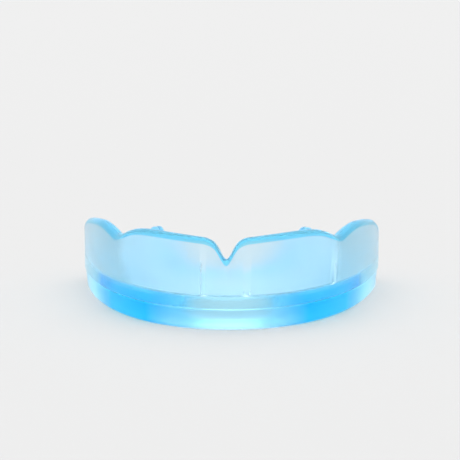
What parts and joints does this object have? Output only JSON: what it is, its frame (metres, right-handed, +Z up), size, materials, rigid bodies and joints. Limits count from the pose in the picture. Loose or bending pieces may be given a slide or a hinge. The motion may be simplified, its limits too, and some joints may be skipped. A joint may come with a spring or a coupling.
{
  "type": "mouthguard",
  "caption": "Horseshoe-shaped translucent mouthguard with an upper-teeth channel, flared cheek walls, a lip notch and a thick flat bite base.",
  "frame": {"origin": "centre of the bounding box in X and Y, on the plane of the flat bite face that it rests on", "axes": "+X to the right seen from the front and across the arch, -Y towards the lips, +Y towards the open ends of the legs, +Z up along the walls"},
  "size_m": [0.062, 0.046, 0.0185],
  "materials": {
    "base_eva": "clear blue EVA with a satin moulded surface",
    "tray_eva": "clear pale blue EVA with a satin moulded surface",
    "liner_eva": "clear, slightly hazy soft EVA"
  },
  "bodies": {
    "root": {"bite_base": "base_eva", "outer_tray": "tray_eva", "fit_liner": "liner_eva"}
  },
  "joints": []
}
